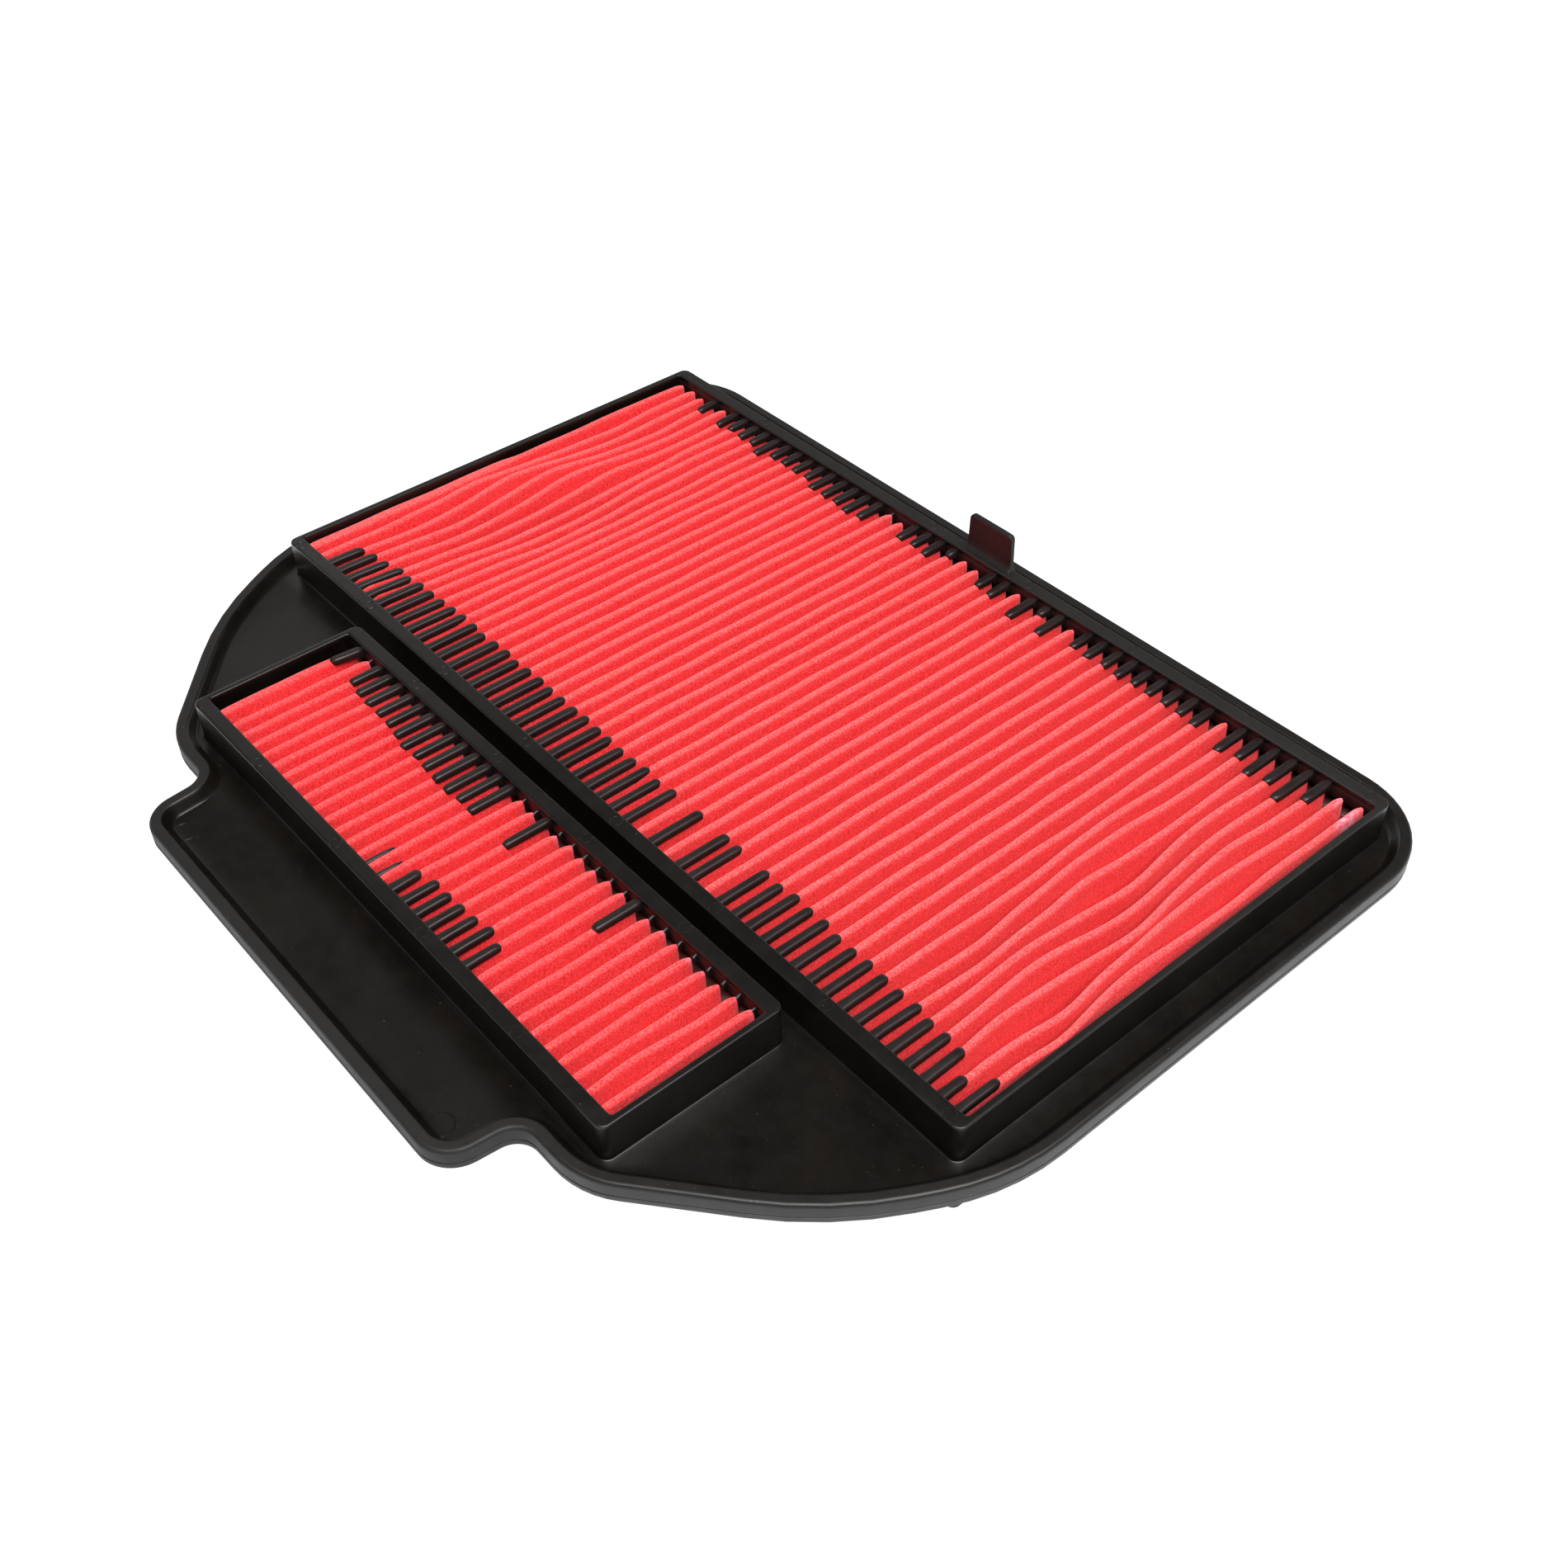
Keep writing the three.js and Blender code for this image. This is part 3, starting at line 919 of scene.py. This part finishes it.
def stub_rows(root, source):
    """A rib without a finger: it ends in a small bulb where it meets the fold."""
    top = FINGER_TOP - 0.9 + source.uniform(-0.15, 0.1)
    end = root + 1.4 + source.uniform(-0.2, 0.3)
    return [
        (root, 0.6, RAIL_BOTTOM, top), (end - 0.8, 0.75, 20.4, top - 0.1),
        (end - 0.4, 0.95, 20.8, top - 0.2), (end - 0.1, 0.8, 21.0, top - 0.4),
        (end, 0.4, 21.2, top - 0.8),
    ]


def large_near_reach(crest, source):
    taper = 3.9 * math.exp(-(crest - 2) / 3.5) + 3.4 * math.exp(-(51 - crest) / 8)
    stub = 3.9 if crest == 50 else 0.0
    return 17.1 - taper - stub + source.uniform(-0.4, 0.4)


def large_far_reach(crest, source):
    change = {9: 1.6, 14: 1.5, 15: 2.1, 16: 1.8, 17: 2.1, 18: 1.9, 24: -3.7, 30: 2.4, 31: -3.3,
              32: 2.3, 44: 2.6, 45: 1.6, 46: 4.1, 47: 3.1, 48: 5.8, 49: 1.4}
    return 10.7 + change.get(crest, 0.0) + source.uniform(-0.5, 0.5)


def small_near_reach(crest, source):
    short = {14: -1.2, 15: -2.2, 16: -1.5, 20: 0.4, 21: 1.1}
    return 12.0 + short.get(crest, 0.0) + source.uniform(-0.3, 0.3)


def small_far_reach(crest, source):
    return 11.6 + 0.36 * min(crest, 9) + source.uniform(-0.5, 0.5)


# The crests that carry a whole finger, a sliver or only a rib. hold is how far from the wall the
# fingers press the crests down.
COMBS = [
    {"node": "comb_large_near", "well": LARGE, "is_far": False, "reach": large_near_reach,
     "hold": 14.5, "fingers": set(range(2, 52)) - {30, 32, 35}, "slivers": set(), "ribs": set()},
    {"node": "comb_large_far", "well": LARGE, "is_far": True, "reach": large_far_reach,
     "hold": 10.0, "fingers": set(range(3, 50)) - {4, 19, 20, 25, 26, 29, 33, 43},
     "slivers": set(), "ribs": {19}},
    {"node": "comb_small_near", "well": SMALL, "is_far": False, "reach": small_near_reach,
     "hold": 10.5, "fingers": set(range(14, 23)), "slivers": {14, 15}, "ribs": set()},
    {"node": "comb_small_far", "well": SMALL, "is_far": True, "reach": small_far_reach,
     "hold": 12.0, "fingers": {0, 17, 24} | set(range(2, 15)), "slivers": set(),
     "ribs": set(range(0, 33))},
]


def pressed(size, crest, y):
    """1 where a comb finger holds a crest down, and 0 where the crest is free."""
    held = 0.0
    for spec in COMBS:
        place = spec["well"]
        if place["size"] == size and crest in spec["fingers"] - spec["slivers"]:
            away = place["far"] - y if spec["is_far"] else y - place["near"]
            held = max(held, smooth_step((spec["hold"] - away) / 2.5))
    return held


def comb(spec, material):
    """A rail under the rim, with a finger, a sliver or a rib on each listed crest."""
    place = spec["well"]
    is_far = spec["is_far"]

    def away(distance):
        return place["far"] - distance if is_far else place["near"] + distance

    source = random.Random(spec["node"])
    shell = Shell()
    half = place["half"] - WALL - 0.05
    rail = [(WALL, RAIL_BOTTOM), (RIM - 0.1, RAIL_BOTTOM), (RIM, RAIL_BOTTOM + 0.2),
            (RIM, LEDGE - 0.15), (RIM - 0.1, LEDGE), (WALL, LEDGE)]
    shell.loft([[(x, away(d), z) for d, z in rail] for x in (-half, 0, half)])
    for crest in sorted(spec["fingers"] | spec["ribs"]):
        x = crest_x(place, crest) + source.uniform(-0.12, 0.12)
        if crest in spec["slivers"]:
            reach = spec["reach"](crest, source)
            add_finger(shell, x - SLIVER_SHIFT, away, sliver_rows(FINGER_ROOT, reach))
        elif crest in spec["fingers"]:
            reach = spec["reach"](crest, source)
            rows = finger_rows(FINGER_ROOT, reach, is_far, source)
            add_finger(shell, x, away, rows, lean(place["size"], crest, away(reach)))
        else:
            add_finger(shell, x, away, stub_rows(FINGER_ROOT, source))
    piece = to_object(shell, spec["node"] + "_moulding", material, 40)
    return stand_for(piece, spec["node"])


# ---- Bonded strips ----------------------------------------------------------------------------
def adhesive_strip(node, material):
    """A bead of adhesive of uneven width and height in the space that the CAD strip holds. Along a
    far wall it has crept up the ends of the folds."""
    low, high = box_mm(node)
    along_x = high.x - low.x > high.y - low.y
    start, end = (low.x, high.x) if along_x else (low.y, high.y)
    side0, side1 = (low.y, high.y) if along_x else (low.x, high.x)
    creep = 1.1 if node.endswith("far") else 0.0
    soak = 0.5 if along_x else 0.0
    wave = Ripple(node, (0.06, 0.13, 0.31))
    swell = Ripple(node + "_height", (0.045, 0.11, 0.27))
    shell = Shell()
    sections = []
    count = int((end - start) / 2.5)
    for k in range(count + 1):
        at = start + (end - start) * k / count
        width = (side1 - side0) * (0.94 + 0.06 * wave(at))
        middle = (side0 + side1) / 2
        top = high.z - 0.5 + creep + 0.45 * swell(at)
        half = width / 2 + soak
        crown = arc(0, 0, 1, 0, 180, 8)
        outline = [(half, low.z)]
        outline += [(half * a, top - 0.7 + 0.7 * b) for a, b in crown]
        outline.append((-half, low.z))
        if along_x:
            sections.append([(at, middle + a, z) for a, z in outline])
        else:
            sections.append([(middle + a, at, z) for a, z in outline])
    shell.loft(sections)
    piece = to_object(shell, node + "_bead", material, 60)
    return stand_for(piece, node)


# ---- Lower grids ------------------------------------------------------------------------------
GRID_THICKNESS = 2.6
GRID_RING = 5.0
GRID_BAR = 1.6
GRID_CELL = 22.5


def cell_spans(start, end):
    """Splits a span into equal cells no wider than GRID_CELL, with bars between them."""
    count = math.ceil((end - start + GRID_BAR) / (GRID_CELL + GRID_BAR))
    pitch = (end - start + GRID_BAR) / count
    return [(start + i * pitch, start + (i + 1) * pitch - GRID_BAR) for i in range(count)]


def lower_grid(place, material):
    half, near, far, base = (place[key] for key in ("half", "near", "far", "base"))
    top = base + GRID_THICKNESS
    shell = Shell()
    edge = 0.45
    profile = [(edge, top), (0.12, top - 0.12), (0, top - edge), (0, base + edge),
               (0.12, base + 0.12), (edge, base)]
    outer = [shell.ring(at_height(rectangle(d - half, near + d, half - d, far - d,
                                            WELL_CORNER - d), z)) for d, z in profile]
    cells = []
    for x0, x1 in cell_spans(GRID_RING - half, half - GRID_RING):
        for y0, y1 in cell_spans(near + GRID_RING, far - GRID_RING):
            rings = []
            for d, z in profile:
                outline = rectangle(x0 - d, y0 - d, x1 + d, y1 + d, 1.2 + d)
                rings.append(shell.ring(at_height(outline, z)))
            cells.append(rings)
    for rings in (outer, *cells):
        for a, b in zip(rings, rings[1:]):
            shell.bridge(a, b)
    shell.plane([outer[0]] + [rings[0] for rings in cells])
    shell.plane([outer[-1]] + [rings[-1] for rings in cells])
    spigot = [(1.9, top - 0.3), (1.9, top + 1.8), (2.05, top + 2.0), (2.35, top + 2.0),
              (2.5, top + 1.8), (2.5, top - 0.3)]
    rings = [shell.ring(at_height(rectangle(d - half, near + d, half - d, far - d, 1.0), z))
             for d, z in spigot]
    for a, b in zip(rings, rings[1:] + rings[:1]):
        shell.bridge(a, b)
    piece = to_object(shell, f"grid_{place['size']}_moulding", material)
    return stand_for(piece, f"lower_grid_{place['size']}")


# ---- Assembly ---------------------------------------------------------------------------------
add_studio()

frame_plastic = satin_plastic(
    "frame_plastic", (0.0026, 0.0019, 0.0013), (0.0055, 0.0041, 0.0029), (0.27, 0.34), 0.2
)
# dark plastic; the red in the comb plastic's colour is a painted reflection of the felt on its rail,
# ribs and fingers
comb_plastic = satin_plastic(
    "comb_plastic", (0.0085, 0.0044, 0.004), (0.015, 0.0085, 0.0078), (0.33, 0.45)
)
grid_plastic = satin_plastic(
    "grid_plastic", (0.006, 0.006, 0.006), (0.011, 0.011, 0.011), (0.38, 0.5)
)
felt = red_felt()
adhesive = dried_adhesive()

upper_frame(frame_plastic)
flange_gasket(gasket_rubber())
for panel in (LARGE, SMALL):
    media(panel, felt)
    lower_grid(panel, grid_plastic)
    for strip in ("side_band_{}_near", "side_band_{}_far", "end_band_{}_left", "end_band_{}_right"):
        adhesive_strip(strip.format(panel["size"]), adhesive)
for spec in COMBS:
    comb(spec, comb_plastic)
